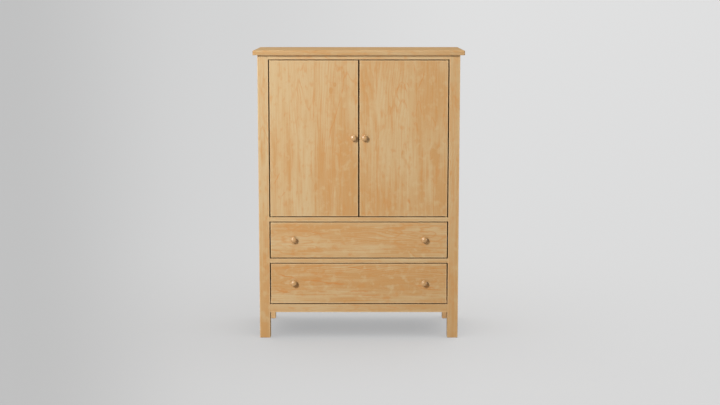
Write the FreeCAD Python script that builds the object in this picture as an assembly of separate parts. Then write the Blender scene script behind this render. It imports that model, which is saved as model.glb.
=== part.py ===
import FreeCAD, Part
import math
import os

from FreeCAD import Vector

# TV armoire: a post-and-panel case of solid maple, with two inset slab doors over two drawers.
# Millimetres. X runs to the right, Y to the back, Z up. The origin is on the floor, under the
# middle of the armoire's overall box.

# ---- case ----
case_width = 1023.0           # outside of post to outside of post
case_depth = 498.0            # front of the front posts to back of the rear posts
post_size = 54.0
top_thickness = 23.5
overhang_side = 22.0
overhang_front = 23.0
overhang_back = 12.0

# ---- heights, from the floor up ----
leg_height = 135.0            # floor to underside of the bottom rail
bottom_rail_height = 42.0
lower_opening_height = 217.0
divider_height = 22.5
upper_opening_height = 192.0
middle_rail_height = 22.5
door_opening_height = 804.0
top_rail_height = 22.0

# ---- boards and their joints ----
rail_thickness = 22.0         # of the rails that stand on edge
rear_bottom_rail_height = 60.0
tenon_length = 20.0
tenon_shoulder = 5.0
side_panel_thickness = 19.0
side_panel_recess = 6.0       # outside of post to outside of panel
tongue_thickness = 8.0
tongue_length = 10.0
joint_slack = 1.0             # left empty at the end of a mortise, groove or pin hole
back_panel_thickness = 6.0
back_rabbet_width = 10.0
post_ease = 2.0               # rounding of the posts' long edges and feet
top_ease = 5.0                # rounding of the top board's upper edges and corners
top_lower_ease = 2.0
front_ease = 1.5              # rounding of the doors' and drawer fronts' faces
rail_ease = 1.0

# ---- cable holes in the back ----
cable_hole_radius = 32.0
cable_hole_offset = 240.0     # either side of the middle
cable_hole_rise = 80.0        # above the deck or the shelf

# ---- TV deck and shelf ----
deck_thickness = 19.0
deck_tongue_length = 6.0
deck_tongue_thickness = 9.0
shelf_thickness = 19.0
shelf_rise = 595.0            # deck to underside of the shelf
shelf_play = 1.5              # between the shelf and the case
shelf_door_gap = 8.0          # between the shelf and the closed doors
pin_radius = 2.5
pin_hole_depth = 10.0
pin_reach = 9.0               # how far a pin stands out of the side panel
pin_collar_radius = 4.0
pin_collar_thickness = 1.0
pin_from_post = 30.0
pin_hole_pitch = 32.0
spare_holes = 2               # above each pin, and as many below

# ---- doors and drawer fronts ----
reveal = 4.5                  # gap above and below an inset front
side_reveal = 5.5             # gap between an inset front and a post
meeting_gap = 7.0             # between the two doors
front_thickness = 20.0

# ---- knobs ----
knob_radius = 16.0
knob_projection = 28.0
knob_cap_height = 20.0
knob_foot_radius = 9.0
knob_foot_height = 4.0
knob_neck_radius = 7.5
knob_outline_count = 13       # points on the cap's curve
door_knob_inset = 24.0        # from the door's free edge
door_knob_rise = 6.5          # above the middle of the door
drawer_knob_inset = 117.5     # from the end of the drawer front
drawer_knob_rise = 4.0        # above the middle of the drawer front
knob_screw_radius = 2.0
knob_screw_bite = 14.0        # length inside the knob
knob_screw_head_radius = 4.5
knob_screw_head_height = 2.5

# ---- knife hinges ----
hinge_axis_inset = 6.0        # from the door's hinged edge
hinge_axis_setback = 5.5      # behind the door's front face
hinge_leaf_length = 38.0
hinge_leaf_width = 7.5
hinge_leaf_thickness = 2.4
hinge_pin_radius = 2.2
hinge_pin_play = 0.05
hinge_pin_extra = 3.0         # past the door's leaf
hinge_washer_radius = 3.5
hinge_washer_play = 0.3
hinge_screw_radius = 1.4
hinge_screw_head_radius = 2.7
hinge_screw_length = 13.0
hinge_screw_first = 12.0      # from the pin
hinge_screw_pitch = 14.0

# ---- door catch ----
catch_width = 60.0
catch_depth = 14.0
catch_height = 13.0
catch_play = 0.3              # catch to strike plate with the doors shut
magnet_width = 20.0
magnet_depth = 4.0
magnet_height = 8.0
strike_width = 24.0
strike_height = 10.0
strike_thickness = 1.2
strike_from_top = 1.0

# ---- drawer boxes ----
box_board = 12.5
box_rear_gap = 42.0           # the closed box to the back panel
box_floor_gap = 12.0          # the opening's lower edge to the box
box_head_gap = 28.0           # the box to the opening's upper edge
drawer_bottom_thickness = 6.0
drawer_bottom_rise = 10.0
drawer_groove_depth = 6.0
tail_count = 4
pin_gap = 14.0                # between two tails at their shoulder
tail_slope = 1.0 / 7.0
front_screw_radius = 1.9
front_screw_bite = 13.0       # length inside the drawer front
front_screw_head_radius = 4.0
front_screw_head_height = 2.0
front_screw_inset = 60.0      # from the box's sides
front_screw_margin = 30.0     # from the box's upper and lower edge

# ---- drawer slides ----
slide_rear_gap = 28.0         # the slide's end to the back of the box
slide_thickness = 12.7
slide_height = 45.0
slide_metal = 1.2
slide_play = 0.4
slide_channel_depth = 9.5
slide_setback = 2.0           # behind the drawer front
cleat_height = 60.0

# ---- screws of the top and the back ----
top_screw_radius = 2.2
top_screw_bite = 14.0         # length inside the top board
top_screw_head_radius = 4.2
top_screw_head_height = 2.4
top_screw_setback = 46.0      # of the front row, behind the front of the posts
top_screw_rear_setback = 23.0  # of the rear row, before the back panel
top_screw_inset = 130.0       # from the opening's sides
top_screw_count = 3           # in each of the two top rails
panel_screw_radius = 1.6
panel_screw_bite = 14.0       # length inside the case
panel_screw_head_radius = 3.2
panel_screw_head_height = 1.8
panel_screw_margin = 30.0     # from the panel's upper and lower edge
panel_screw_inset = 150.0     # from the opening's sides, for the screws between the posts
panel_screw_columns = 3
panel_screw_rows = 5          # along each rear post
pan_head_taper = 0.7          # of a pan head: its flat end's radius over its widest

# ---- levels and faces that follow ----
bottom_rail_top = leg_height + bottom_rail_height
divider_low = bottom_rail_top + lower_opening_height
divider_top = divider_low + divider_height
middle_rail_low = divider_top + upper_opening_height
deck_top = middle_rail_low + middle_rail_height
deck_low = deck_top - deck_thickness
shelf_low = deck_top + shelf_rise
door_opening_top = deck_top + door_opening_height
case_top = door_opening_top + top_rail_height

front_reach = max(knob_projection, overhang_front)
face = (front_reach - case_depth - overhang_back) / 2      # front of posts, doors and drawers
fronts_back = face + front_thickness
post_back = face + post_size
back = face + case_depth
panel_front = back - back_panel_thickness                  # inner side of the back panel
rear_post_front = back - post_size
box_back = panel_front - box_rear_gap                      # end of the closed drawer boxes

half_case = case_width / 2
half_opening = half_case - post_size
side_outer = half_case - side_panel_recess
side_inner = side_outer - side_panel_thickness
side_middle = side_outer - side_panel_thickness / 2

sides = {"left": -1, "right": 1}
drawers = {"upper": (divider_top, middle_rail_low), "lower": (bottom_rail_top, divider_low)}
nodes = {}


# ---- shapes ----

def box(x, y, z):
    """Box between two planes on each axis, given in either order."""
    low = Vector(min(x), min(y), min(z))
    return Part.makeBox(abs(x[1] - x[0]), abs(y[1] - y[0]), abs(z[1] - z[0]), low)


def rod(radius, start, end):
    """Cylinder from one point to another."""
    start, end = Vector(*start), Vector(*end)
    return Part.makeCylinder(radius, (end - start).Length, start, end - start)


def run_along(edge):
    """The axis that a straight edge runs along."""
    span = edge.Vertexes[-1].Point - edge.Vertexes[0].Point
    return max("xyz", key=lambda axis: abs(getattr(span, axis)))


def edges_at(solid, axis, level, along="xyz"):
    """Edges in the plane across an axis at a level, running along one of the given axes."""
    return [edge for edge in solid.Edges if run_along(edge) in along
            and all(abs(getattr(v.Point, axis) - level) < 0.001 for v in edge.Vertexes)]


def pan_screw(head_at, point_at, shank, head, head_height):
    """Screw whose head stands on the surface at head_at and whose shank ends at point_at."""
    head_at, point_at = Vector(*head_at), Vector(*point_at)
    along = (point_at - head_at).normalize()
    cap = Part.makeCone(head * pan_head_taper, head, head_height / 2, head_at - along * head_height,
                        along)
    skirt = Part.makeCylinder(head, head_height / 2, head_at - along * head_height / 2, along)
    return cap.fuse([skirt, rod(shank, head_at, point_at)]).removeSplitter()


def sunk_screw(head_at, point_at, shank, head):
    """Screw whose countersunk head is flush with the surface at head_at."""
    head_at, point_at = Vector(*head_at), Vector(*point_at)
    along = (point_at - head_at).normalize()
    cap = Part.makeCone(head, shank, head - shank, head_at, along)
    return cap.fuse(rod(shank, head_at, point_at)).removeSplitter()


def spread(low, high, count):
    """Evenly spaced places, the first at low and the last at high."""
    return [low + (high - low) * i / max(count - 1, 1) for i in range(count)]


def cut_from(names, tools):
    """Cut the same holes or pockets into several nodes."""
    for name in names:
        nodes[name] = nodes[name].cut(tools)


def group(shapes):
    return Part.makeCompound(shapes)


# ---- posts ----

def post(side, y):
    solid = box((side * half_opening, side * half_case), (y, y + post_size), (0, case_top))
    upright = [edge for edge in solid.Edges if run_along(edge) == "z"]
    return solid.makeFillet(post_ease, upright + edges_at(solid, "z", 0))


for name, side in sides.items():
    nodes[f"front_{name}_post"] = post(side, face)
    nodes[f"rear_{name}_post"] = post(side, rear_post_front)

front_posts = [f"front_{name}_post" for name in sides]
rear_posts = [f"rear_{name}_post" for name in sides]


# ---- rails between the posts, with a tenon at each end ----

def add_rail(name, y, z, posts):
    """Rail between two posts. Its front edges are rounded and its tenons cut the mortises."""
    board = box((-half_opening, half_opening), y, z)
    board = board.makeFillet(rail_ease, edges_at(board, "y", y[0], "x"))
    tenon_y = (y[0] + tenon_shoulder, y[1] - tenon_shoulder)
    tenon_z = (z[0] + tenon_shoulder, z[1] - tenon_shoulder)
    reach = half_opening + tenon_length
    nodes[name] = board.fuse(box((-reach, reach), tenon_y, tenon_z)).removeSplitter()
    cut_from(posts, box((-reach - joint_slack, reach + joint_slack), tenon_y, tenon_z))


flat_rail = (face, post_back)
add_rail("front_top_rail", flat_rail, (door_opening_top, case_top), front_posts)
add_rail("middle_rail", flat_rail, (middle_rail_low, deck_top), front_posts)
add_rail("drawer_divider", flat_rail, (divider_low, divider_top), front_posts)
add_rail("bottom_rail", (face, face + rail_thickness), (leg_height, bottom_rail_top), front_posts)
add_rail("rear_top_rail", (rear_post_front, panel_front), (door_opening_top, case_top), rear_posts)
add_rail("rear_bottom_rail", (panel_front - rail_thickness, panel_front),
         (leg_height, leg_height + rear_bottom_rail_height), rear_posts)


# ---- side panels, tongued into the posts ----

panel_z = (leg_height, case_top)
for name, side in sides.items():
    board = box((side * side_inner, side * side_outer), (post_back, rear_post_front), panel_z)
    tongue_x = (side * side_middle - tongue_thickness / 2, side * side_middle + tongue_thickness / 2)
    tongue = box(tongue_x, (post_back - tongue_length, rear_post_front + tongue_length), panel_z)
    groove_reach = tongue_length + joint_slack
    groove = box(tongue_x, (post_back - groove_reach, rear_post_front + groove_reach), panel_z)
    nodes[f"{name}_side_panel"] = board.fuse(tongue).removeSplitter()
    cut_from([f"front_{name}_post", f"rear_{name}_post"], groove)

side_panels = [f"{name}_side_panel" for name in sides]


# ---- back panel, let into the rear posts ----

half_panel = half_opening + back_rabbet_width
back_board = box((-half_panel, half_panel), (panel_front, back), panel_z)
cut_from(rear_posts, back_board)
nodes["back_panel"] = back_board.cut([
    rod(cable_hole_radius, (x, panel_front, z), (x, back, z))
    for x in (-cable_hole_offset, cable_hole_offset)
    for z in (deck_top + cable_hole_rise, shelf_low + shelf_thickness + cable_hole_rise)])


# ---- deck under the TV, let into the side panels ----

rear_corners = [box((side * half_opening, side * side_inner), (rear_post_front, panel_front),
                    (deck_low, deck_top)) for side in sides.values()]
deck = box((-side_inner, side_inner), (post_back, panel_front), (deck_low, deck_top))
tongue_y = (post_back, rear_post_front)
tongue_z = (deck_low, deck_low + deck_tongue_thickness)
deck_reach = side_inner + deck_tongue_length
deck_tongue = box((-deck_reach, deck_reach), tongue_y, tongue_z)
nodes["tv_deck"] = deck.cut(rear_corners).fuse(deck_tongue).removeSplitter()
dado_reach = deck_reach + joint_slack
cut_from(side_panels, box((-dado_reach, dado_reach), tongue_y, tongue_z))


# ---- adjustable shelf, its pins and the rows of pin holes ----

shelf_z = (shelf_low, shelf_low + shelf_thickness)
half_shelf = side_inner - shelf_play
half_neck = half_opening - shelf_play
shelf_front = fronts_back + shelf_door_gap
shelf_back = panel_front - shelf_play
shelf_between_posts = box((-half_neck, half_neck), (shelf_front, shelf_back), shelf_z)
shelf_between_panels = box((-half_shelf, half_shelf),
                           (post_back + shelf_play, rear_post_front - shelf_play), shelf_z)
nodes["adjustable_shelf"] = shelf_between_posts.fuse(shelf_between_panels).removeSplitter()

pin_z = shelf_low - pin_radius
pins, pin_holes = [], []
for side in sides.values():
    for y in (post_back + pin_from_post, rear_post_front - pin_from_post):
        shank_end = side * (side_inner + pin_hole_depth - joint_slack)
        shank = rod(pin_radius, (shank_end, y, pin_z), (side * (side_inner - pin_reach), y, pin_z))
        collar = rod(pin_collar_radius, (side * side_inner, y, pin_z),
                     (side * (side_inner - pin_collar_thickness), y, pin_z))
        pins.append(shank.fuse(collar).removeSplitter())
        for step in range(-spare_holes, spare_holes + 1):
            z = pin_z + step * pin_hole_pitch
            pin_holes.append(rod(pin_radius, (side * side_inner, y, z),
                                 (side * (side_inner + pin_hole_depth), y, z)))
nodes["shelf_pins"] = group(pins)
cut_from(side_panels, pin_holes)


# ---- top board and the screws that hold it from below ----

top_board = box((-half_case - overhang_side, half_case + overhang_side),
                (face - overhang_front, back + overhang_back), (case_top, case_top + top_thickness))
upper_edges = edges_at(top_board, "z", case_top + top_thickness)
corners = [edge for edge in top_board.Edges if run_along(edge) == "z"]
top_board = top_board.makeFillet(top_ease, upper_edges + corners)
nodes["top_board"] = top_board.makeFillet(top_lower_ease, edges_at(top_board, "z", case_top))

top_screws = [
    pan_screw((x, y, door_opening_top), (x, y, case_top + top_screw_bite),
              top_screw_radius, top_screw_head_radius, top_screw_head_height)
    for y in (face + top_screw_setback, panel_front - top_screw_rear_setback)
    for x in spread(-half_opening + top_screw_inset, half_opening - top_screw_inset, top_screw_count)]
nodes["top_screws"] = group(top_screws)
cut_from(["top_board", "front_top_rail", "rear_top_rail"], top_screws)


# ---- back panel's screws, into the rear posts, the rails and the deck ----

post_line = half_opening + back_rabbet_width / 2
inner_line = half_opening - panel_screw_inset
screw_places = [(x, z) for x in (-post_line, post_line)
                for z in spread(leg_height + panel_screw_margin, case_top - panel_screw_margin,
                                panel_screw_rows)]
screw_places += [(x, z) for x in spread(-inner_line, inner_line, panel_screw_columns)
                 for z in (leg_height + rear_bottom_rail_height / 2, deck_top - deck_thickness / 2,
                           case_top - top_rail_height / 2)]
panel_screws = [pan_screw((x, back, z), (x, panel_front - panel_screw_bite, z),
                          panel_screw_radius, panel_screw_head_radius, panel_screw_head_height)
                for x, z in screw_places]
nodes["back_panel_screws"] = group(panel_screws)
cut_from(["back_panel", "rear_bottom_rail", "rear_top_rail", "tv_deck"] + rear_posts, panel_screws)


# ---- knobs: a turned cap on a neck, screwed on from behind ----

def knob_solid():
    """Knob standing on the plane Z = 0, with its screw hole."""
    cap = knob_cap_height / 2
    cap_middle = knob_projection - cap
    start = -math.acos(min(knob_neck_radius / knob_radius, 1.0))
    outline = [Vector(knob_radius * math.cos(t), 0, cap_middle + cap * math.sin(t))
               for t in spread(start, math.pi / 2, knob_outline_count)]
    curve = Part.BSplineCurve()
    curve.interpolate(outline)
    foot = Vector(knob_foot_radius, 0, 0)
    foot_top = Vector(knob_neck_radius, 0, knob_foot_height)
    bend = Vector((knob_foot_radius + 2 * knob_neck_radius) / 3, 0, knob_foot_height / 2)
    wire = Part.Wire([
        Part.makeLine(Vector(0, 0, 0), foot),
        Part.Arc(foot, bend, foot_top).toShape(),
        Part.makeLine(foot_top, outline[0]),
        curve.toShape(),
        Part.makeLine(outline[-1], Vector(0, 0, 0)),
    ])
    solid = Part.Face(wire).revolve(Vector(0, 0, 0), Vector(0, 0, 1), 360)
    return solid.cut(rod(knob_screw_radius, (0, 0, 0), (0, 0, knob_screw_bite + joint_slack)))


def knob_at(x, z):
    knob = knob_solid()
    knob.rotate(Vector(0, 0, 0), Vector(1, 0, 0), 90)
    knob.translate(Vector(x, face, z))
    return knob


def knob_screw_at(x, z, head_y):
    return pan_screw((x, head_y, z), (x, face - knob_screw_bite, z),
                     knob_screw_radius, knob_screw_head_radius, knob_screw_head_height)


# ---- doors, with knife hinges let into their edges and into the rails ----

def leaf_outline(x, side, z0, z1):
    """Hinge leaf between two levels: round at the pin, straight towards the door's middle."""
    y = face + hinge_axis_setback
    half_width = hinge_leaf_width / 2
    end = x - side * (hinge_leaf_length - half_width)
    plate = box((x, end), (y - half_width, y + half_width), (z0, z1))
    return plate.fuse(rod(half_width, (x, y, z0), (x, y, z1))).removeSplitter()


def hinge(side, case_z, door_z):
    """Knife hinge across the gap between a rail at case_z and a door's edge at door_z."""
    to_door = 1 if door_z > case_z else -1
    x = side * (half_opening - side_reveal - hinge_axis_inset)
    y = face + hinge_axis_setback
    case_deep = case_z - to_door * hinge_leaf_thickness
    door_deep = door_z + to_door * hinge_leaf_thickness
    pin_end = door_deep + to_door * hinge_pin_extra
    washer_end = door_z - to_door * hinge_washer_play

    case_plate = leaf_outline(x, side, case_z, case_deep)
    door_plate = leaf_outline(x, side, door_z, door_deep)
    bore = rod(hinge_pin_radius + hinge_pin_play, (x, y, case_z),
               (x, y, pin_end + to_door * joint_slack))
    screw_x = [x - side * (hinge_screw_first + i * hinge_screw_pitch) for i in range(2)]
    case_screws = [sunk_screw((sx, y, case_z), (sx, y, case_z - to_door * hinge_screw_length),
                              hinge_screw_radius, hinge_screw_head_radius) for sx in screw_x]
    door_screws = [sunk_screw((sx, y, door_z), (sx, y, door_z + to_door * hinge_screw_length),
                              hinge_screw_radius, hinge_screw_head_radius) for sx in screw_x]
    pin_leaf = case_plate.fuse([rod(hinge_washer_radius, (x, y, case_deep), (x, y, washer_end)),
                                rod(hinge_pin_radius, (x, y, case_deep), (x, y, pin_end))])
    return {
        "case_leaf": pin_leaf.removeSplitter().cut(case_screws),
        "door_leaf": door_plate.cut([bore] + door_screws),
        "case_pocket": [case_plate] + case_screws,
        "door_pocket": [door_plate, bore] + door_screws,
        "case_screws": case_screws,
        "door_screws": door_screws,
    }


door_low, door_high = deck_top + reveal, door_opening_top - reveal
door_knob_z = (door_low + door_high) / 2 + door_knob_rise
strike_y = (fronts_back, fronts_back + strike_thickness)
strike_z = (door_high - strike_from_top - strike_height, door_high - strike_from_top)
case_leaves, case_hinge_screws = [], []

for name, side in sides.items():
    free_edge = side * meeting_gap / 2
    door = box((free_edge, side * (half_opening - side_reveal)), (face, fronts_back),
               (door_low, door_high))
    nodes[f"{name}_door"] = door.makeFillet(front_ease, edges_at(door, "y", face))

    hinges = [hinge(side, deck_top, door_low), hinge(side, door_opening_top, door_high)]
    for rail_name, one in zip(("middle_rail", "front_top_rail"), hinges):
        cut_from([rail_name], one["case_pocket"])
        cut_from([f"{name}_door"], one["door_pocket"])
        case_leaves.append(one["case_leaf"])
        case_hinge_screws += one["case_screws"]
    nodes[f"{name}_door_hinge_leaves"] = group([one["door_leaf"] for one in hinges])
    nodes[f"{name}_door_hinge_screws"] = group([s for one in hinges for s in one["door_screws"]])

    knob_x = free_edge + side * door_knob_inset
    knob_screw = knob_screw_at(knob_x, door_knob_z, fronts_back)
    nodes[f"{name}_door_knob"] = knob_at(knob_x, door_knob_z)
    nodes[f"{name}_door_knob_screw"] = knob_screw
    cut_from([f"{name}_door"], knob_screw)

    magnet_x = side * catch_width / 4
    nodes[f"{name}_door_strike"] = box(
        (magnet_x - strike_width / 2, magnet_x + strike_width / 2), strike_y, strike_z)

nodes["hinge_case_leaves"] = group(case_leaves)
nodes["hinge_case_screws"] = group(case_hinge_screws)


# ---- double magnetic catch under the top rail ----

catch_front = strike_y[1] + catch_play
catch_z = (door_opening_top - catch_height, door_opening_top)
magnet_margin = (catch_height - magnet_height) / 2
magnet_z = (catch_z[0] + magnet_margin, catch_z[1] - magnet_margin)
magnets = [box((middle - magnet_width / 2, middle + magnet_width / 2),
               (catch_front, catch_front + magnet_depth), magnet_z)
           for middle in (-catch_width / 4, catch_width / 4)]
catch = box((-catch_width / 2, catch_width / 2), (catch_front, catch_front + catch_depth), catch_z)
nodes["door_catch"] = group([catch.cut(magnets)] + magnets)


# ---- drawer slides: three nested channels a side ----

def channel(side, web, lip_end, half_height, z, lip=0.0):
    """Channel member. Its web and flange ends are distances from the opening's side."""
    def across(near, far):
        return (side * (half_opening - near), side * (half_opening - far))

    y = (fronts_back + slide_setback, box_back - slide_rear_gap)
    web_side = web if web < lip_end else web - slide_metal
    pieces = [box(across(web_side, web_side + slide_metal), y, (z - half_height, z + half_height))]
    for up in (-1, 1):
        outer, inner = z + up * half_height, z + up * (half_height - slide_metal)
        pieces.append(box(across(web, lip_end), y, (outer, inner)))
        if lip:
            pieces.append(box(across(lip_end - slide_metal, lip_end), y, (inner, inner - up * lip)))
    return pieces[0].fuse(pieces[1:]).removeSplitter()


step_in = slide_metal + slide_play
case_half = slide_height / 2
middle_half = case_half - step_in
drawer_half = middle_half - step_in
lip = step_in


# ---- drawers ----

def tails(x, y_shoulder, y_end, low, high):
    """Dovetail-shaped prisms across the thickness of a drawer side, at one of its ends."""
    pitch = (high - low) / tail_count
    narrow = pitch - pin_gap
    wide = narrow + 2 * tail_slope * abs(y_end - y_shoulder)
    prisms = []
    for i in range(tail_count):
        z = low + (i + 0.5) * pitch
        corners = [Vector(x[0], y_shoulder, z - narrow / 2), Vector(x[0], y_end, z - wide / 2),
                   Vector(x[0], y_end, z + wide / 2), Vector(x[0], y_shoulder, z + narrow / 2)]
        sheet = Part.Face(Part.makePolygon(corners + corners[:1]))
        prisms.append(sheet.extrude(Vector(x[1] - x[0], 0, 0)))
    return prisms


half_box = half_opening - slide_thickness
box_front = (fronts_back, fronts_back + box_board)
box_rear = (box_back - box_board, box_back)
box_length = (fronts_back, box_back)

for name, (opening_low, opening_high) in drawers.items():
    low, high = opening_low + box_floor_gap, opening_high - box_head_gap
    height = (low, high)
    slide_z = (low + high) / 2

    floor_low = low + drawer_bottom_rise
    floor_reach = half_box - box_board + drawer_groove_depth
    floor = box((-floor_reach, floor_reach),
                (box_front[1] - drawer_groove_depth, box_rear[0] + drawer_groove_depth),
                (floor_low, floor_low + drawer_bottom_thickness))
    nodes[f"{name}_drawer_bottom"] = floor

    front_tails, rear_tails = [], []
    for side_name, side in sides.items():
        board_x = (side * (half_box - box_board), side * half_box)
        at_front = tails(board_x, box_front[1], box_front[0], low, high)
        at_rear = tails(board_x, box_rear[0], box_rear[1], low, high)
        waste = [box(board_x, box_front, height).cut(at_front),
                 box(board_x, box_rear, height).cut(at_rear)]
        nodes[f"{name}_drawer_box_{side_name}"] = box(board_x, box_length, height).cut(waste + [floor])
        front_tails += at_front
        rear_tails += at_rear
    box_x = (-half_box, half_box)
    nodes[f"{name}_drawer_box_front"] = box(box_x, box_front, height).cut(front_tails + [floor])
    nodes[f"{name}_drawer_box_back"] = box(box_x, box_rear, height).cut(rear_tails + [floor])

    half_front = half_opening - side_reveal
    front = box((-half_front, half_front), (face, fronts_back),
                (opening_low + reveal, opening_high - reveal))
    nodes[f"{name}_drawer_front"] = front.makeFillet(front_ease, edges_at(front, "y", face))

    knob_z = (opening_low + opening_high) / 2 + drawer_knob_rise
    knob_places = [side * (half_front - drawer_knob_inset) for side in sides.values()]
    knob_screws = [knob_screw_at(x, knob_z, box_front[1]) for x in knob_places]
    nodes[f"{name}_drawer_knobs"] = group([knob_at(x, knob_z) for x in knob_places])
    nodes[f"{name}_drawer_knob_screws"] = group(knob_screws)

    screw_x = half_box - box_board - front_screw_inset
    front_screws = [pan_screw((x, box_front[1], z), (x, fronts_back - front_screw_bite, z),
                              front_screw_radius, front_screw_head_radius, front_screw_head_height)
                    for x in (-screw_x, screw_x)
                    for z in (low + front_screw_margin, high - front_screw_margin)]
    nodes[f"{name}_drawer_front_screws"] = group(front_screws)
    cut_from([f"{name}_drawer_front", f"{name}_drawer_box_front"], knob_screws + front_screws)

    nodes[f"{name}_slide_cleats"] = group([
        box((side * half_opening, side * side_inner), (post_back, rear_post_front),
            (slide_z - cleat_height / 2, slide_z + cleat_height / 2)) for side in sides.values()])
    nodes[f"{name}_slide_case_members"] = group([
        channel(side, 0, slide_channel_depth, case_half, slide_z, lip) for side in sides.values()])
    nodes[f"{name}_slide_middle_members"] = group([
        channel(side, step_in, slide_channel_depth - step_in, middle_half, slide_z)
        for side in sides.values()])
    nodes[f"{name}_slide_drawer_members"] = group([
        channel(side, slide_thickness, 2 * step_in, drawer_half, slide_z) for side in sides.values()])


# ---- one file per node ----

os.makedirs("parts", exist_ok=True)
for name, shape in nodes.items():
    shape.exportStep(os.path.join("parts", f"{name}.step"))
    print(f"{name}: {len(shape.Solids)} solids, {shape.Volume / 1000:.1f} cm3, valid {shape.isValid()}")
print(f"{len(nodes)} nodes, top at {case_top + top_thickness:.1f} mm")
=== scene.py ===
import math

import bmesh
import bpy
from mathutils import Matrix, Vector


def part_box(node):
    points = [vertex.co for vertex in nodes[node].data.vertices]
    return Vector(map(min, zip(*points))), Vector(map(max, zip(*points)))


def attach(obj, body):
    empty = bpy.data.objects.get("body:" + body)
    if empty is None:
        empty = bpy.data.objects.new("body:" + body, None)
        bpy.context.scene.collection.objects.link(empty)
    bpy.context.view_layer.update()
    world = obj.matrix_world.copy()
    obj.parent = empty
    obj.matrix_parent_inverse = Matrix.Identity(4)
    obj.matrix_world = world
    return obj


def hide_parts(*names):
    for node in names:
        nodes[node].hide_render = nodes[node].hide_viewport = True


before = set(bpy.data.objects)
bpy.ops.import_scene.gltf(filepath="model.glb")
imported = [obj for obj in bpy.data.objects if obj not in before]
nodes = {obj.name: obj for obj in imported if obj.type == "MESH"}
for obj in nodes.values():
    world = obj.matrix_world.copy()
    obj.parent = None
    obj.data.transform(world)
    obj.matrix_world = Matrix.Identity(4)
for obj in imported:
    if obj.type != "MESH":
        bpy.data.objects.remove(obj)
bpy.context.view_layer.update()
print("frame loaded:", len(nodes), "nodes")


# shader arithmetic: an expression on fields adds the Math nodes that it needs

class Field:
    def __init__(self, finish, socket):
        self.finish = finish
        self.socket = socket

    def maths(self, operation, *values):
        return self.finish.node("ShaderNodeMath", {"operation": operation}, dict(enumerate(values)))

    def __add__(self, other):
        return self.maths("ADD", self, other)

    def __radd__(self, other):
        return self.maths("ADD", other, self)

    def __sub__(self, other):
        return self.maths("SUBTRACT", self, other)

    def __rsub__(self, other):
        return self.maths("SUBTRACT", other, self)

    def __mul__(self, other):
        return self.maths("MULTIPLY", self, other)

    def __rmul__(self, other):
        return self.maths("MULTIPLY", other, self)

    def __truediv__(self, other):
        return self.maths("DIVIDE", self, other)

    def __rtruediv__(self, other):
        return self.maths("DIVIDE", other, self)

    def __pow__(self, other):
        return self.maths("POWER", self, other)

    def __gt__(self, other):
        return self.maths("GREATER_THAN", self, other)

    def __abs__(self):
        return self.maths("ABSOLUTE", self)

    def between(self, low, high):  # rises smoothly from 0 at low to 1 at high
        return self.finish.node("ShaderNodeMapRange", {"interpolation_type": "SMOOTHSTEP"},
                                {"Value": self, "From Min": low, "From Max": high})


class Finish:
    def __init__(self, owner):
        owner.use_nodes = True
        self.owner = owner
        self.tree = owner.node_tree
        self.tree.nodes.clear()

    def node(self, kind, settings=None, inputs=None, output=0):
        made = self.tree.nodes.new(kind)
        for name, value in (settings or {}).items():
            setattr(made, name, value)
        for name, value in (inputs or {}).items():
            if isinstance(value, Field):
                self.tree.links.new(value.socket, made.inputs[name])
            else:
                made.inputs[name].default_value = value
        return Field(self, made.outputs[output]) if made.outputs else None

    def axes(self, output):
        where = self.node("ShaderNodeTexCoord", None, None, output)
        return {axis: self.node("ShaderNodeSeparateXYZ", None, {0: where}, axis.upper())
                for axis in "xyz"}

    def noise(self, x, y, z, detail=2.0):
        vector = self.node("ShaderNodeCombineXYZ", None, {0: x, 1: y, 2: z})
        return self.node("ShaderNodeTexNoise", None,
                         {"Vector": vector, "Scale": 1.0, "Detail": detail, "Roughness": 0.5}, "Fac")

    def mix(self, mask, below, above):
        return self.node("ShaderNodeMix", {"data_type": "RGBA"}, {0: mask, 6: below, 7: above}, 2)

    def bump(self, height, strength, distance):
        return self.node("ShaderNodeBump", None,
                         {"Height": height, "Strength": strength, "Distance": distance})

    def surface(self, **inputs):
        named = {name.replace("_", " "): value for name, value in inputs.items()}
        shader = self.node("ShaderNodeBsdfPrincipled", None, named)
        self.node("ShaderNodeOutputMaterial", None, {"Surface": shader})
        return self.owner


def newFinish(name):
    return Finish(bpy.data.materials.new(name))


def tone(red, green, blue):  # a screen colour, 0 to 255, as the linear colour that a shader takes
    def linear(value):
        value /= 255
        return value / 12.92 if value <= 0.04045 else ((value + 0.055) / 1.055) ** 2.4
    return (linear(red), linear(green), linear(blue), 1.0)


def dress(names, material):
    for name in names:
        for slot in nodes[name].material_slots:
            slot.material = material


# maple, cut flat from the log: a solid pattern that runs through each board

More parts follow.
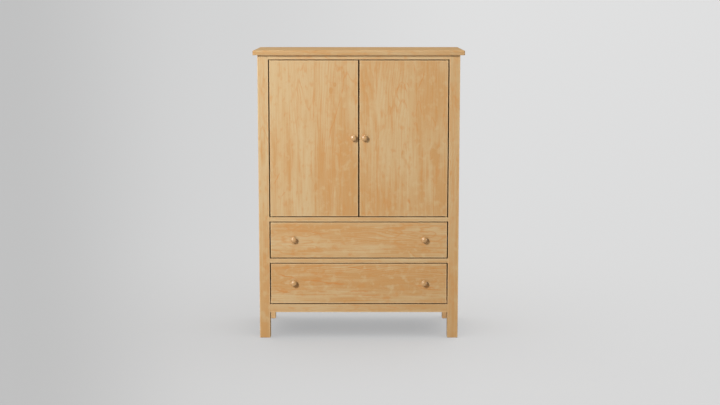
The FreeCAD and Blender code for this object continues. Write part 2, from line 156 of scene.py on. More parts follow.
maple = {
    "pale": tone(203, 175, 131), "amber": tone(196, 151, 97), "orange": tone(198, 140, 78),
    "line": tone(181, 115, 56), "mark": tone(199, 133, 68), "endGrain": tone(168, 120, 76),
    "warmth": 0.45, "boardSpread": 0.35, "broad": 0.8, "bands": 0.5, "streaks": 0.7,
    "ringSpacing": 0.0085, "pithDepth": 0.055, "pithTilt": 0.035, "rings": 0.4,
    "pithWander": 0.13, "pithSpread": 0.10, "pithDepthSpread": 0.03,
    "marks": 0.5, "marksFrom": 0.53, "marksFade": 0.13, "fibre": 0.16, "flecks": 0.25,
    "swerve": 0.02, "tipSwerve": 0.6, "mottle": 0.6, "blush": 0.52, "streakTint": 0.5, "endTint": 0.55,
    "roughness": 0.46, "roughnessSpread": 0.12, "specular": 0.27, "coat": 0.0, "coatRoughness": 0.2,
    "bump": 0.25, "bumpDistance": 0.0004, "fibreRise": 0.7, "streakRise": 0.3, "fleckFall": 0.4,
    # a painted highlight along the eased front edges
    "edgeHighlight": 0.45, "edgeHighlightColour": tone(228, 194, 146), "edgeHighlightFull": 0.002, "edgeHighlightEnd": 0.006,
    # painted shade on the walls of each gap, and how far behind the face it reaches
    "gap": 0.85, "gapShadeColour": tone(80, 42, 18), "gapDepth": 0.024, "gapNear": 0.0012,
    "gapFar": 0.0018, "gapRoughness": 0.5,
}
woodNoise = {  # scale across the grain, scale along it, detail, and a shift of its own
    "wander": (5.0, 1.7, 2.0, 0.0), "ringShare": (9.0, 2.0, 1.0, 5.0), "curl": (26.0, 7.0, 1.5, 11.0),
    "curlShare": (8.0, 4.0, 1.0, 17.0), "broad": (11.0, 1.6, 3.0, 2.0), "band": (42.0, 3.5, 2.5, 41.0),
    "streak": (150.0, 5.0, 3.0, 7.0), "fibre": (900.0, 30.0, 2.0, 9.0),
    "mottle": (34.0, 30.0, 2.0, 13.0), "blush": (48.0, 24.0, 2.0, 51.0),
    "fleck": (520.0, 130.0, 1.0, 21.0), "swerve": (45.0, 22.0, 2.0, 31.0),
}
boardShift = (37.0, 23.0, 19.0)  # how far apart two boards lie in the noise: across, deep and along
woodRise = {  # where each mask starts to rise from 0, and where it reaches 1
    "lateWood": (0.35, 0.92), "ringEnd": (0.92, 1.0), "ringShare": (0.42, 0.68), "curl": (0.0, 0.045),
    "fleck": (0.66, 0.74), "mottle": (0.5, 0.75), "blush": (0.52, 0.78), "streak": (0.52, 0.8),
    "fibre": (0.5, 0.8), "endGrain": (0.6, 0.9), "front": (0.3, 0.8), "strokeStart": (0.0, 0.25),
    "strokeEnd": (0.75, 1.0), "tipStart": (-0.06, 0.04), "tipEnd": (0.5, 1.0),
}
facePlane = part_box("front_left_post")[0][1]
gapEnd = facePlane + maple["gapDepth"]


def woodFinish(name, grain, across, seed, joints=(), figure=None, look=None, edges=(), shadedGaps=()):
    wood, figure = {**maple, **(look or {})}, figure or {}
    finish = newFinish(name)
    place, facing = finish.axes("Object"), finish.axes("Normal")
    through = "xyz".replace(grain, "").replace(across, "")
    along, side, deep = place[grain], place[across], place[through]

    # which board of a glued-up panel this is, and numbers of its own
    board = side * 0.0 + seed
    for joint in joints:
        board = board + (side > joint)
    chance = finish.node("ShaderNodeTexWhiteNoise", {"noise_dimensions": "1D"}, {"W": board}, "Color")
    first, second, third = (finish.node("ShaderNodeSeparateColor", None, {0: chance}, part)
                            for part in ("Red", "Green", "Blue"))

    def noise(kind):
        crossing, running, detail, shift = woodNoise[kind]
        return finish.noise(side * crossing + first * boardShift[0] + shift,
                            deep * crossing + second * boardShift[1],
                            along * running + third * boardShift[2], detail)

    # growth rings round a pith line that lies behind the face and leans along the grain
    wander = (noise("wander") - 0.5) * wood["pithWander"]
    offset = side + wander + (first - 0.5) * wood["pithSpread"]
    depth = deep + wood["pithDepth"] + second * wood["pithDepthSpread"]
    radius = (offset * offset + depth * depth) ** 0.5
    lean = ((third > 0.5) * 2.0 - 1.0) * wood["pithTilt"]
    turns = (radius + along * lean) / wood["ringSpacing"]
    ring = turns.maths("FRACT", turns)
    lateWood = ring.between(*woodRise["lateWood"]) - ring.between(*woodRise["ringEnd"])
    ringMark = lateWood * noise("ringShare").between(*woodRise["ringShare"])

    # loops and squiggles of darker figure
    curl = (1.0 - abs(noise("curl") - 0.5).between(*woodRise["curl"])) \
        * noise("curlShare").between(wood["marksFrom"], wood["marksFrom"] + wood["marksFade"])

    broad, band, streak, fibre, mottle, blush = (
        noise(kind) for kind in ("broad", "band", "streak", "fibre", "mottle", "blush"))
    fleck = noise("fleck").between(*woodRise["fleck"])

    warmth = wood["warmth"] + (broad - 0.5) * (wood["broad"] * 2.0) \
        + (band - 0.5) * (wood["bands"] * 2.0) + (streak - 0.5) * wood["streaks"] \
        + (first - 0.5) * wood["boardSpread"]
    for atSide, atAlong, halfSide, halfAlong, amount in figure.get("patches", ()):
        reach = ((side - atSide) / halfSide) ** 2.0 + ((along - atAlong) / halfAlong) ** 2.0
        warmth = warmth + (1.0 - reach.between(0.0, 1.0)) * amount

    # single marks: strokes from one place to another, and the rounded tips of cathedral figure
    marks = None
    swerve = (noise("swerve") - 0.5) * wood["swerve"]
    for side0, along0, side1, along1, halfWidth, amount in figure.get("strokes", ()):
        run = (along - along0) / (along1 - along0)
        miss = abs(side + swerve - side0 - run * (side1 - side0))
        mark = (1.0 - miss.between(0.0, halfWidth)) * run.between(*woodRise["strokeStart"]) \
            * (1.0 - run.between(*woodRise["strokeEnd"]))
        marks = mark * amount if marks is None else marks.maths("MAXIMUM", marks, mark * amount)
    for tipSide, tipAlong, halfSide, length, halfWidth, amount in figure.get("tips", ()):
        drop = (tipAlong - along) / length  # 0 at the tip, 1 at the open end
        spread = abs(side + swerve * wood["tipSwerve"] - tipSide) / halfSide
        miss = abs(spread - drop.maths("MAXIMUM", drop, 0.0) ** 0.5) * abs(halfSide)
        mark = (1.0 - miss.between(0.0, halfWidth)) * drop.between(*woodRise["tipStart"]) \
            * (1.0 - drop.between(*woodRise["tipEnd"]))
        marks = mark * amount if marks is None else marks.maths("MAXIMUM", marks, mark * amount)

    colour = finish.mix(warmth.between(0.0, 1.0), wood["pale"], wood["amber"])
    colour = finish.mix(mottle.between(*woodRise["mottle"]) * wood["mottle"], colour, wood["pale"])
    colour = finish.mix(blush.between(*woodRise["blush"]) * wood["blush"], colour, wood["orange"])
    colour = finish.mix(streak.between(*woodRise["streak"]) * wood["streakTint"], colour, wood["orange"])
    colour = finish.mix(ringMark * wood["rings"], colour, wood["orange"])
    colour = finish.mix(curl * wood["marks"], colour, wood["orange"])
    if marks is not None:
        colour = finish.mix(marks, colour, wood["mark"])
    colour = finish.mix(fibre.between(*woodRise["fibre"]) * wood["fibre"], colour, wood["line"])
    colour = finish.mix(fleck * wood["flecks"], colour, wood["line"])
    boardEnd = abs(facing[grain]).between(*woodRise["endGrain"])
    colour = finish.mix(boardEnd * wood["endTint"], colour, wood["endGrain"])

    # painted highlight and painted shade: the eased front edges are painted paler where they would catch
    # light, and the walls of each gap behind them are painted a shaded brown
    def nearest(levels, full, end):
        mask = None
        for axis, level in levels:
            near = 1.0 - abs(place[axis] - level).between(full, end)
            mask = near if mask is None else mask.maths("MAXIMUM", mask, near)
        return mask

    roughness = wood["roughness"] + (fibre - 0.5) * wood["roughnessSpread"]
    front = (0.0 - facing["y"]).between(*woodRise["front"])
    if edges:
        edgeHighlight = nearest(edges, wood["edgeHighlightFull"], wood["edgeHighlightEnd"]) * front
        colour = finish.mix(edgeHighlight * wood["edgeHighlight"], colour, wood["edgeHighlightColour"])
    if shadedGaps:
        paintedGapShade = nearest(shadedGaps, wood["gapNear"], wood["gapFar"]) * (1.0 - front) \
            * (1.0 - (place["y"] > gapEnd))
        colour = finish.mix(paintedGapShade * wood["gap"], colour, wood["gapShadeColour"])
        roughness = roughness + paintedGapShade * wood["gapRoughness"]

    height = fibre * wood["fibreRise"] + streak * wood["streakRise"] - fleck * wood["fleckFall"]
    return finish.surface(
        Base_Color=colour, Specular_IOR_Level=wood["specular"],
        Coat_Weight=wood["coat"], Coat_Roughness=wood["coatRoughness"],
        Roughness=roughness, Normal=finish.bump(height, wood["bump"], wood["bumpDistance"]))


boards = {  # node: grain, across, seed, glue joints, warmth
    "left_door": ("z", "x", 3.0, (-0.345, -0.226, -0.118), 0.4),
    "right_door": ("z", "x", 10.0, (0.076, 0.245), 0.5),
    "front_left_post": ("z", "x", 40.0, (), 0.52), "front_right_post": ("z", "x", 41.0, (), 0.6),
    "rear_left_post": ("z", "x", 42.0, (), 0.45), "rear_right_post": ("z", "x", 43.0, (), 0.45),
    "left_side_panel": ("z", "y", 50.0, (-0.07, 0.035, 0.13), 0.45),
    "right_side_panel": ("z", "y", 60.0, (-0.09, 0.02, 0.12), 0.5),
    "front_top_rail": ("x", "z", 70.0, (), -0.1), "middle_rail": ("x", "z", 71.0, (), 0.5),
    "drawer_divider": ("x", "z", 72.0, (), 0.4), "bottom_rail": ("x", "z", 73.0, (), 0.45),
    "rear_top_rail": ("x", "z", 74.0, (), 0.45), "rear_bottom_rail": ("x", "z", 75.0, (), 0.45),
    "upper_drawer_front": ("x", "z", 76.0, (), 0.52), "lower_drawer_front": ("x", "z", 77.0, (), 0.42),
    "top_board": ("x", "y", 90.0, (-0.14, -0.02, 0.12), 0.42),
    "tv_deck": ("x", "y", 95.0, (-0.1, 0.04, 0.15), 0.45),
    "adjustable_shelf": ("x", "y", 99.0, (-0.08, 0.06), 0.45),
}
figures = {  # places across and along the grain, then half sizes and a strength
    # the left door's pale patch at its upper left is partly the board's tone and partly painted sheen from
    # the light above to the left
    "left_door": {
        "patches": ((-0.17, 0.75, 0.09, 0.4, 0.32), (-0.06, 0.75, 0.07, 0.35, 0.2),
                    (-0.37, 1.3, 0.12, 0.35, -0.3), (-0.08, 1.4, 0.1, 0.16, -0.15),
                    (-0.141, 1.279, 0.012, 0.02, 0.8), (-0.121, 1.309, 0.01, 0.014, 0.8),
                    (-0.125, 0.862, 0.014, 0.03, 0.6), (-0.219, 0.79, 0.01, 0.025, 0.6)),
        "strokes": ((-0.068, 1.38, -0.088, 1.24, 0.004, 0.5), (-0.084, 1.27, -0.166, 1.0, 0.004, 0.55),
                    (-0.4, 0.865, -0.437, 0.795, 0.006, 0.5), (-0.375, 0.765, -0.395, 0.735, 0.006, 0.5),
                    (-0.285, 1.42, -0.28, 1.33, 0.006, 0.25), (-0.31, 1.22, -0.305, 1.08, 0.006, 0.2)),
    },
    "right_door": {
        "patches": ((0.04, 1.3, 0.045, 0.22, 0.3), (0.106, 1.234, 0.035, 0.16, -0.25),
                    (0.14, 1.0, 0.16, 0.45, -0.15), (0.38, 1.0, 0.15, 0.6, 0.32),
                    (0.25, 0.68, 0.3, 0.22, 0.25),
                    (0.205, 1.17, 0.028, 0.12, -0.5), (0.233, 1.132, 0.03, 0.06, -0.3),
                    (0.363, 0.774, 0.04, 0.08, -0.3), (0.387, 0.954, 0.03, 0.07, 0.6),
                    (0.224, 0.954, 0.012, 0.03, 0.6), (0.4, 1.25, 0.06, 0.2, 0.2)),
        "strokes": ((0.335, 1.38, 0.298, 1.28, 0.004, 0.6), (0.275, 1.43, 0.283, 1.35, 0.004, 0.4),
                    (0.195, 1.36, 0.235, 1.372, 0.004, 0.5), (0.238, 1.325, 0.258, 1.29, 0.005, 0.45),
                    (0.253, 0.725, 0.259, 0.7, 0.005, 0.7), (0.16, 1.2, 0.175, 1.05, 0.004, 0.3)),
        "tips": ((0.217, 1.322, 0.03, 0.08, 0.0035, 0.55), (0.223, 1.235, 0.024, 0.07, 0.0035, 0.5),
                 (0.304, 1.226, 0.017, 0.09, 0.0035, 0.55), (0.288, 1.12, 0.012, 0.06, 0.003, 0.45),
                 (0.232, 1.01, 0.013, 0.07, 0.003, 0.45)),
    },
    # the posts are painted paler at the top and warmer lower down: partly the boards' tone, partly painted
    # sheen that fades downwards
    "front_left_post": {"patches": ((-0.483, 1.4, 0.2, 0.6, -0.35), (-0.483, 0.15, 0.2, 0.6, 0.4),
                                    (-0.49, 0.97, 0.02, 0.09, 0.35))},
    "front_right_post": {"patches": ((0.483, 0.45, 0.2, 0.7, 0.25),)},
    "upper_drawer_front": {
        "patches": ((0.45, -0.05, 0.08, 0.3, -0.3), (0.568, -0.12, 0.01, 0.04, -0.5),
                    (0.578, 0.108, 0.008, 0.05, -0.5), (0.52, 0.2, 0.08, 0.2, 0.15)),
        "strokes": ((0.551, -0.28, 0.548, -0.13, 0.004, 0.6), (0.535, -0.1, 0.53, 0.12, 0.004, 0.4),
                    (0.5, -0.42, 0.505, -0.3, 0.004, 0.5), (0.56, 0.22, 0.553, 0.4, 0.004, 0.4)),
    },
    "lower_drawer_front": {
        "patches": ((0.25, -0.1, 0.02, 0.12, -0.35), (0.36, 0.15, 0.025, 0.1, -0.3),
                    (0.2, -0.4, 0.05, 0.1, -0.25), (0.3, 0.1, 0.1, 0.25, 0.2)),
        "strokes": ((0.335, -0.42, 0.312, -0.32, 0.005, 0.9), (0.307, -0.3, 0.298, -0.17, 0.006, 0.9),
                    (0.292, -0.2, 0.281, -0.06, 0.006, 0.9), (0.369, -0.06, 0.365, 0.02, 0.006, 0.8),
                    (0.36, 0.02, 0.357, 0.07, 0.005, 0.7), (0.247, -0.06, 0.243, 0.06, 0.006, 0.8),
                    (0.254, -0.433, 0.24, -0.36, 0.006, 0.8), (0.28, 0.27, 0.262, 0.4, 0.005, 0.75),
                    (0.262, 0.3, 0.244, 0.445, 0.005, 0.7), (0.226, 0.0, 0.222, 0.12, 0.005, 0.6)),
    },
    "bottom_rail": {"strokes": ((0.165, 0.13, 0.153, 0.22, 0.004, 0.5),
                                (0.172, -0.07, 0.168, 0.03, 0.003, 0.4),
                                (0.158, -0.3, 0.162, -0.2, 0.003, 0.3))},
}
livelyFigure = {"bands": 0.9, "streaks": 1.4, "rings": 0.6, "marks": 0.6, "marksFrom": 0.5, "flecks": 0.5,
                "mottle": 0.8, "blush": 0.7}
frontGapShade = {"gap": 0.4}  # painted gap shade lighter than the case's, because these edges show when a door or drawer is open
looks = {  # pieces whose figure, colour or gloss differs from the rest
    "left_door": frontGapShade, "right_door": frontGapShade,
    "upper_drawer_front": {**livelyFigure, **frontGapShade, "bands": 0.75, "streaks": 1.1, "blush": 0.55},
    "lower_drawer_front": {**livelyFigure, **frontGapShade},
    "top_board": {"roughness": 0.72, "specular": 0.12, "pale": tone(196, 168, 126),
                  "amber": tone(189, 145, 93), "orange": tone(191, 135, 75)},
    "front_left_post": {"streaks": 1.0}, "front_right_post": {"streaks": 1.0},
}
edgeHighlightsAndGapShade = {  # sides whose front edges get a painted highlight, then sides that a gap runs along, whose walls get painted shade (X and Z: high)
    "left_door": ("xXzZ", "xXzZ"), "right_door": ("xXzZ", "xXzZ"),
    "upper_drawer_front": ("xXzZ", "xXzZ"), "lower_drawer_front": ("xXzZ", "xXzZ"),
    "front_top_rail": ("zZ", "z"), "middle_rail": ("zZ", "zZ"), "drawer_divider": ("zZ", "zZ"),
    "bottom_rail": ("zZ", "Z"), "front_left_post": ("xX", "X"), "front_right_post": ("xX", "x"),
}


def sideLevels(name, sides):  # each side's axis and where that side lies
    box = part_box(name)
    return [(side.lower(), box[side.isupper()]["xyz".index(side.lower())]) for side in sides]


for name, (grain, across, seed, joints, warmth) in boards.items():
    look = {"warmth": warmth, **looks.get(name, {})}
    edges, shadedGaps = (sideLevels(name, sides) for sides in edgeHighlightsAndGapShade.get(name, ("", "")))
    dress([name], woodFinish(name + "_maple", grain, across, seed, joints, figures.get(name), look,
                             edges, shadedGaps))

knobMaple = {
    "pale": tone(198, 165, 117), "amber": tone(190, 141, 86), "orange": tone(192, 130, 69),
    "endGrain": tone(201, 157, 102), "roughness": 0.36, "roughnessSpread": 0.05,
    "specular": 0.5, "coat": 1.0, "coatRoughness": 0.3,
}
seeds = {"knobs": 105.0, "boxes": 110.0, "nextBox": 5.0, "cleats": 125.0}
dress(["left_door_knob", "right_door_knob", "upper_drawer_knobs", "lower_drawer_knobs"],
      woodFinish("knob_maple", "y", "x", seeds["knobs"], look=knobMaple))
drawerBoxes = {  # part of a box: grain, across
    "box_front": ("x", "z"), "box_back": ("x", "z"), "box_left": ("y", "z"), "box_right": ("y", "z"),
}
boxMaple = {"pale": tone(214, 190, 150), "amber": tone(206, 171, 121), "orange": tone(205, 160, 102),
            "warmth": 0.3, "roughness": 0.55, "marks": 0.3}
for level, drawer in enumerate(("upper", "lower")):
    for place, (part, (grain, across)) in enumerate(drawerBoxes.items()):
        seed = seeds["boxes"] + seeds["nextBox"] * level + place
        dress([f"{drawer}_drawer_{part}"],
              woodFinish(f"{drawer}_{part}_maple", grain, across, seed, look=boxMaple))
    dress([f"{drawer}_slide_cleats"],
          woodFinish(f"{drawer}_cleat_maple", "y", "z", seeds["cleats"] + level, look=boxMaple))
print("maple done")


# plywood: a rotary-cut face over crossed layers that show at its edges

plywood = {  # drift, fibre and broad: scale across the grain and along it
    "pale": tone(212, 184, 142), "amber": tone(203, 168, 118), "line": tone(184, 142, 92),
    "layer": tone(168, 128, 84), "layers": 5, "layerTint": 0.7, "edgeRise": (0.5, 0.9),
    "drift": (5.0, 1.1), "driftDetail": 2.5, "contour": 0.035, "lines": 0.275,
    "lineRise": (0.4, 0.85), "lineEnd": (0.9, 1.0),
    "fibre": (700.0, 22.0), "fibreRise": (0.5, 0.8), "fibreTint": 0.22,
    "broad": (7.0, 1.5), "broadLevel": 3.0, "broadRise": (0.35, 0.65),
    "roughness": 0.58, "bump": 0.12, "bumpDistance": 0.0003, "seedStep": 3.7,
}


def plywoodFinish(name, grain, across, faceLevel, thickness, seed):
    finish = newFinish(name)
    place, facing = finish.axes("Object"), finish.axes("Normal")
    through = "xyz".replace(grain, "").replace(across, "")
    along, side, deep = place[grain], place[across], place[through]
    crossing, running = plywood["drift"]
    drift = finish.noise(side * crossing + seed, 0.0, along * running + seed, plywood["driftDetail"])
    level = drift / plywood["contour"]
    wave = level.maths("FRACT", level)
    contour = wave.between(*plywood["lineRise"]) - wave.between(*plywood["lineEnd"])
    crossing, running = plywood["fibre"]
    fibre = finish.noise(side * crossing, seed, along * running)
    crossing, running = plywood["broad"]
    broad = finish.noise(side * crossing + seed, plywood["broadLevel"], along * running)
    colour = finish.mix(broad.between(*plywood["broadRise"]), plywood["pale"], plywood["amber"])
    colour = finish.mix(contour * plywood["lines"], colour, plywood["line"])
    colour = finish.mix(fibre.between(*plywood["fibreRise"]) * plywood["fibreTint"], colour,
                        plywood["line"])
    layer = (deep - faceLevel) / (thickness / plywood["layers"])
    atEdge = (1.0 - abs(facing[through])).between(*plywood["edgeRise"])
    crossed = (layer.maths("FRACT", layer * 0.5) > 0.5) * atEdge
    colour = finish.mix(crossed * plywood["layerTint"], colour, plywood["layer"])
    return finish.surface(Base_Color=colour, Roughness=plywood["roughness"],
                          Normal=finish.bump(fibre, plywood["bump"], plywood["bumpDistance"]))


for name, grain, across in (("back_panel", "z", "x"), ("upper_drawer_bottom", "x", "y"),
                            ("lower_drawer_bottom", "x", "y")):
    low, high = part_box(name)
    through = "xyz".index("xyz".replace(grain, "").replace(across, ""))
    dress([name], plywoodFinish(name + "_plywood", grain, across, low[through],
                                high[through] - low[through], len(name) * plywood["seedStep"]))
print("plywood done")


# metals and plastic

metals = {  # colour, darker colour, roughness, axis that the finish runs along, size of its mottle
    "zinc": (tone(178, 181, 186), tone(146, 150, 156), 0.4, "y", 60.0),
    "screw_zinc": (tone(205, 205, 200), tone(176, 174, 166), 0.3, "y", 220.0),
    "nickel": (tone(208, 204, 196), tone(190, 184, 174), 0.24, "x", 160.0),
    "brass": (tone(216, 184, 116), tone(188, 150, 84), 0.3, "x", 190.0),
}
brushing = {
    "along": 12.0, "across": 900.0, "wear": 35.0, "wearDetail": 3.0, "mottleRise": (0.35, 0.7),
    "wearRise": (0.5, 0.8), "mottleTint": 0.8, "mottleGloss": 0.2, "brushedGloss": 0.22, "wearGloss": 0.1,
    "bump": 0.15, "bumpDistance": 0.0001,
}


def metalFinish(name):
    colour, shade, roughness, grain, size = metals[name]
    finish = newFinish(name)
    place = finish.axes("Object")
    stretch = {axis: brushing["along" if axis == grain else "across"] for axis in "xyz"}
    brushed = finish.noise(*(place[axis] * stretch[axis] for axis in "xyz"))
    mottle = finish.noise(*(place[axis] * size for axis in "xyz"))
    wear = finish.noise(*(place[axis] * brushing["wear"] for axis in "xyz"), brushing["wearDetail"])
    base = finish.mix(mottle.between(*brushing["mottleRise"]) * brushing["mottleTint"], colour, shade)
    return finish.surface(
        Base_Color=base, Metallic=1.0,
        Roughness=(mottle - 0.5) * brushing["mottleGloss"] + (brushed - 0.5) * brushing["brushedGloss"]
        + wear.between(*brushing["wearRise"]) * brushing["wearGloss"] + roughness,
        Normal=finish.bump(brushed, brushing["bump"], brushing["bumpDistance"]))


catch = {  # brown plastic round two steel poles
    "poleHalfWidth": 0.0102, "poleHalfHeight": 0.0041, "poleDepth": 0.0041, "pole": tone(168, 166, 160),
    "brown": tone(84, 53, 34), "lightBrown": tone(96, 62, 40), "grain": 900.0,
    "roughness": 0.45, "grainGloss": 0.1, "poleGloss": 0.1, "bump": 0.2, "bumpDistance": 0.0001,
}


def catchFinish():
    finish = newFinish("catch")
    place = finish.axes("Object")
    low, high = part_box("door_catch")
    middleX, middleZ = (high[0] - low[0]) / 4, (low[2] + high[2]) / 2
    pole = (1.0 - (abs(abs(place["x"]) - middleX) > catch["poleHalfWidth"])) \
        * (1.0 - (abs(place["z"] - middleZ) > catch["poleHalfHeight"])) \
        * (1.0 - (place["y"] > low[1] + catch["poleDepth"]))
    grain = finish.noise(*(place[axis] * catch["grain"] for axis in "xyz"))
    base = finish.mix(grain, catch["lightBrown"], catch["brown"])
    return finish.surface(
        Base_Color=finish.mix(pole, base, catch["pole"]), Metallic=pole,
        Roughness=catch["roughness"] + grain * catch["grainGloss"] - pole * catch["poleGloss"],
        Normal=finish.bump(grain, catch["bump"], catch["bumpDistance"]))


zinc, screwZinc, nickel, brass = (metalFinish(name) for name in metals)
for drawer in ("upper", "lower"):
    dress([f"{drawer}_slide_{member}_members" for member in ("case", "middle", "drawer")], zinc)
    dress([f"{drawer}_drawer_knob_screws", f"{drawer}_drawer_front_screws"], screwZinc)
dress(["top_screws", "back_panel_screws", "left_door_knob_screw", "right_door_knob_screw"], screwZinc)
dress(["shelf_pins", "left_door_strike", "right_door_strike"], nickel)
dress(["hinge_case_leaves", "hinge_case_screws"], brass)
for door in ("left_door", "right_door"):
    dress([f"{door}_hinge_leaves", f"{door}_hinge_screws"], brass)
dress(["door_catch"], catchFinish())
print("metal and plastic done")


# pan-head screws with a cross recess: one piece for all the screws of a node, each where its solid is

panHead = {
    "curve": ((0.0, 1.0), (0.45, 0.97), (0.75, 0.85), (0.93, 0.6), (1.0, 0.35), (1.0, 0.0)),
    "steps": 24, "crown": 0.7, "slot": 0.14, "reach": 0.5, "depth": 0.55, "taper": 0.7, "tip": 0.9,
    "twist": 37.0, "sharpFrom": 32.0, "weld": 1e-6, "cutWithin": 1e-7,
}
screws = {  # node: body, the way its heads look, then head radius, head height and shank radius
    "top_screws": ("case", (0, 0, -1), 0.0042, 0.0024, 0.0022),
    "back_panel_screws": ("case", (0, 1, 0), 0.0032, 0.0018, 0.0016),
    "left_door_knob_screw": ("left_door", (0, 1, 0), 0.0045, 0.0025, 0.002),
    "right_door_knob_screw": ("right_door", (0, 1, 0), 0.0045, 0.0025, 0.002),
    "upper_drawer_knob_screws": ("upper_drawer", (0, 1, 0), 0.0045, 0.0025, 0.002),
    "lower_drawer_knob_screws": ("lower_drawer", (0, 1, 0), 0.0045, 0.0025, 0.002),
    "upper_drawer_front_screws": ("upper_drawer", (0, 1, 0), 0.004, 0.002, 0.0019),
    "lower_drawer_front_screws": ("lower_drawer", (0, 1, 0), 0.004, 0.002, 0.0019),
}


def solidsOf(name):  # the lowest and highest corners of each solid of a node
    shape = bmesh.new()
    shape.from_mesh(nodes[name].data)
    bmesh.ops.remove_doubles(shape, verts=shape.verts, dist=panHead["weld"])
    left, boxes = set(shape.verts), []
    while left:
        found = [left.pop()]
        for vert in found:
            for other in (edge.other_vert(vert) for edge in vert.link_edges):
                if other in left:
                    left.remove(other)
                    found.append(other)
        boxes.append([[end(vert.co[i] for vert in found) for i in range(3)] for end in (min, max)])
    shape.free()
    return sorted(boxes)


def cutRecess(shape, radius, height):  # a cross, pressed into the crown of the head
    slot, reach = panHead["slot"] * radius, panHead["reach"] * radius
    crownLevel = panHead["crown"] * height
    for place in (-reach, -slot, slot, reach):
        for across in ((1, 0, 0), (0, 1, 0)):
            crown = [face for face in shape.faces if face.calc_center_median().z > crownLevel]
            geom = list({part for face in crown for part in (*face.verts, *face.edges, face)})
            bmesh.ops.bisect_plane(shape, geom=geom, dist=panHead["cutWithin"], plane_no=across,
                                   plane_co=[place * part for part in across])
    cross = []
    for face in shape.faces:
        middle = face.calc_center_median()
        near, far = sorted((abs(middle.x), abs(middle.y)))
        if middle.z > crownLevel and near < slot and far < reach:
            cross.append(face)
    pressed = bmesh.ops.extrude_face_region(shape, geom=cross)["geom"]
    bmesh.ops.delete(shape, geom=[face for face in cross if face.is_valid], context="FACES_ONLY")
    floor = [part for part in pressed if isinstance(part, bmesh.types.BMVert)]
    bmesh.ops.translate(shape, verts=floor, vec=(0, 0, -panHead["depth"] * height))
    bmesh.ops.scale(shape, verts=floor, vec=(panHead["taper"], panHead["taper"], 1))


def makeScrews(name, body, toward, headRadius, headHeight, shankRadius):
    solids = solidsOf(name)
    axis = [abs(part) for part in toward].index(1)
    length = solids[0][1][axis] - solids[0][0][axis] - headHeight
    shape = bmesh.new()
    outline = [(part * headRadius, rise * headHeight) for part, rise in panHead["curve"]]
    outline += [(shankRadius, 0), (shankRadius, shankRadius * panHead["tip"] - length), (0, -length)]
    points = [shape.verts.new((out, 0, up)) for out, up in outline]
    edges = [shape.edges.new(pair) for pair in zip(points, points[1:])]
    bmesh.ops.spin(shape, geom=points + edges, cent=(0, 0, 0), axis=(0, 0, 1), angle=2 * math.pi,
                   steps=panHead["steps"], use_merge=True)
    bmesh.ops.remove_doubles(shape, verts=shape.verts, dist=panHead["weld"])
    bmesh.ops.recalc_face_normals(shape, faces=shape.faces)
    cutRecess(shape, headRadius, headHeight)
    single = bpy.data.meshes.new("single_screw")
    shape.to_mesh(single)
    shape.free()

    upright = Vector((0, 0, 1)).rotation_difference(Vector(toward)).to_matrix().to_4x4()
    whole = bmesh.new()
    for count, (low, high) in enumerate(solids):
        seat = [(a + b) / 2 for a, b in zip(low, high)]
        seat[axis] = (high if toward[axis] > 0 else low)[axis] - toward[axis] * headHeight
        before = len(whole.verts)
        whole.from_mesh(single)
        whole.verts.ensure_lookup_table()
        twist = Matrix.Rotation(math.radians(panHead["twist"] * count), 4, "Z")
        bmesh.ops.transform(whole, matrix=Matrix.Translation(seat) @ upright @ twist,
                            verts=whole.verts[before:])
    mesh = bpy.data.meshes.new(name + "_cross")
    whole.to_mesh(mesh)
    whole.free()
    bpy.data.meshes.remove(single)
    mesh.shade_smooth()
    mesh.set_sharp_from_angle(angle=math.radians(panHead["sharpFrom"]))
    mesh.materials.append(screwZinc)
    piece = bpy.data.objects.new(name + "_cross", mesh)
    bpy.context.scene.collection.objects.link(piece)
    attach(piece, body)
    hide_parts(name)
    return piece


newPieces = [makeScrews(name, *values) for name, values in screws.items()]
print("screws done:", len(newPieces), "pieces")


# floor, lights and camera

studio = {
    "floorHalf": 4000.0, "floorShadow": 0.58, "paint": 0.6, "glow": 1.35,
    "paintTint": (1.02, 1.0, 0.98), "glowTint": (0.98, 1.0, 1.02),
    "corner": 0.53, "leftRise": 0.12, "leftSpan": (-0.26, -0.1), "rightRise": 0.09,
    "rightSpan": (-0.12, 0.1), "nearFall": 0.3, "nearSpan": (-0.08, 0.08), "elsewhere": 0.66,
    "edgeSpan": (0.27, 0.9), "floorSpan": (-6.0, -2.5), "skySpan": (0.0, 0.4),
    "leastAhead": 0.5, "leastRise": 0.001,
    "dome": 0.14, "domeFrontShare": 0.2, "floorSun": 3.53, "floorSunAngle": 120.0,
    "lampTarget": (0, 0, 0.75),
}
lamps = {
    "key": {"power": 303.0, "place": (-2.9, -5.1, 3.4), "size": 0.6},
    "fill": {"power": 46.0, "place": (-3.2, -5.0, 0.5), "size": 1.6},
    "overhead": {"power": 147.0, "place": (0.0, 0.1, 6.0), "size": 2.4},
    "back": {"power": 170.0, "place": (1.2, 5.5, 0.7), "size": 1.5, "mirrored": False},
    "left": {"power": 62.0, "place": (-6.0, 0.9, 1.2), "size": 2.0},
    "right": {"power": 122.0, "place": (6.0, 0.9, 1.2), "size": 2.0},
    "legs": {"power": 80.0, "place": (0.0, -5.5, 0.35), "size": 0.6,
             "lights": ("rear_left_post", "rear_right_post")},
    "right_leg": {"power": 90.0, "place": (0.0, -5.5, 0.35), "size": 0.6, "lights": ("rear_right_post",)},
}
viewpoint = {
    "lens": 70.0, "sensor": 36.0, "pitch": 8.21, "side": 0.0061, "distance": 7.0801, "height": 1.7289,
}


def gathered(name, members):
    group = bpy.data.collections.new(name)
    for member in members:
        group.objects.link(member)
    return group


lit = gathered("lit", [*nodes.values(), *newPieces])  # what the lamps light: the object, not the floor


def evenElsewhere(shade, share):  # the shade where the share is 1, and an even one where it is 0
    return (shade - studio["elsewhere"]) * share + studio["elsewhere"]


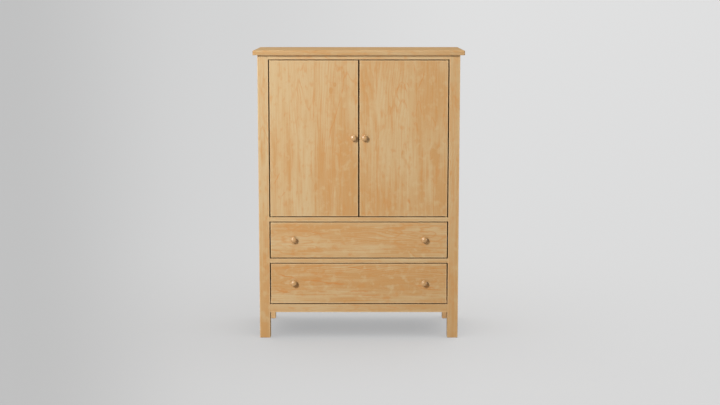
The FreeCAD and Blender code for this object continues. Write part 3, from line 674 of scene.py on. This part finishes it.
def backdropShade(aside, near):  # painted light on the backdrop: paler to the right of the object than to its left, less so towards the front on the right, and even elsewhere
    shade = aside.between(*studio["leftSpan"]) * studio["leftRise"] \
        + aside.between(*studio["rightSpan"]) * studio["rightRise"] + studio["corner"] \
        - aside.between(*studio["nearSpan"]) * near * studio["nearFall"]
    return evenElsewhere(shade, 1.0 - abs(aside).between(*studio["edgeSpan"]))


def makeFloor():
    shape = bmesh.new()
    bmesh.ops.create_grid(shape, x_segments=1, y_segments=1, size=studio["floorHalf"])
    mesh = bpy.data.meshes.new("floor")
    shape.to_mesh(mesh)
    shape.free()
    floor = bpy.data.objects.new("floor", mesh)
    bpy.context.scene.collection.objects.link(floor)
    finish = newFinish("floor_paint")
    mesh.materials.append(finish.owner)
    place = finish.axes("Object")
    ahead = place["y"] + viewpoint["distance"]
    near = 1.0 / ahead.maths("MAXIMUM", ahead, studio["leastAhead"])
    grade = evenElsewhere(backdropShade(place["x"] * near, near), place["y"].between(*studio["floorSpan"]))

    def graded(tint, level):
        parts = {i: grade * (part * level) for i, part in enumerate(tint)}
        return finish.node("ShaderNodeCombineColor", None, parts)

    paint = finish.node("ShaderNodeBsdfDiffuse", None,
                        {"Color": graded(studio["paintTint"], studio["paint"])})
    backdrop = finish.node("ShaderNodeEmission", None,
                           {"Color": graded(studio["glowTint"], studio["glow"]), "Strength": 1.0})
    seen = finish.node("ShaderNodeLightPath", None, None, "Is Camera Ray")
    floorMix = finish.node("ShaderNodeMixShader", None,
                           {0: seen * (1.0 - studio["floorShadow"]), 1: paint, 2: backdrop})
    finish.node("ShaderNodeOutputMaterial", None, {"Surface": floorMix})
    under = gathered("under", [floor])  # what the sun lights: the floor alone
    light = bpy.data.lights.new("floor_sun", "SUN")
    light.energy, light.angle = studio["floorSun"], math.radians(studio["floorSunAngle"])
    sun = bpy.data.objects.new("floor_sun", light)
    bpy.context.scene.collection.objects.link(sun)
    sun.light_linking.receiver_collection = under


def makeLamp(name, power, place, size, lights=(), mirrored=True):
    light = bpy.data.lights.new(name, "AREA")
    light.energy, light.size = power, size
    lamp = bpy.data.objects.new(name, light)
    bpy.context.scene.collection.objects.link(lamp)
    lamp.location = place
    lamp.visible_glossy = mirrored
    x, y, z = (a - b for a, b in zip(place, studio["lampTarget"]))
    lamp.rotation_euler = (math.atan2(math.hypot(x, y), z), 0, math.atan2(x, -y))
    receivers = gathered(name, [nodes[part] for part in lights]) if lights else lit
    lamp.light_linking.receiver_collection = receivers


def makeWorld():
    world = bpy.data.worlds.new("studio")
    bpy.context.scene.world = world
    finish = Finish(world)
    toward = finish.axes("Generated")
    dome = finish.node("ShaderNodeBackground", None, {
        "Color": (1, 1, 1, 1), "Strength": (1.0 - toward["y"] * studio["domeFrontShare"]) * studio["dome"]})
    aside = toward["x"] / toward["y"].maths("MAXIMUM", toward["y"], studio["leastRise"])
    shade = evenElsewhere(backdropShade(aside, 0.0), toward["y"].between(*studio["skySpan"]))
    colour = finish.node("ShaderNodeCombineColor", None, {0: shade, 1: shade, 2: shade})
    backdrop = finish.node("ShaderNodeBackground", None, {"Color": colour, "Strength": 1.0})
    seen = finish.node("ShaderNodeLightPath", None, None, "Is Camera Ray")
    finish.node("ShaderNodeOutputWorld", None,
                {"Surface": finish.node("ShaderNodeMixShader", None, {0: seen, 1: dome, 2: backdrop})})


def makeCamera():
    data = bpy.data.cameras.new("camera")
    data.lens, data.sensor_width, data.sensor_fit = viewpoint["lens"], viewpoint["sensor"], "HORIZONTAL"
    data.clip_end = 2 * studio["floorHalf"]
    camera = bpy.data.objects.new("camera", data)
    bpy.context.scene.collection.objects.link(camera)
    camera.location = (viewpoint["side"], facePlane - viewpoint["distance"], viewpoint["height"])
    camera.rotation_euler = (math.radians(90 - viewpoint["pitch"]), 0, 0)
    bpy.context.scene.camera = camera


makeFloor()
makeWorld()
for name, values in lamps.items():
    makeLamp(name, **values)
makeCamera()
bpy.context.scene.view_settings.view_transform = "Standard"
print("studio done")
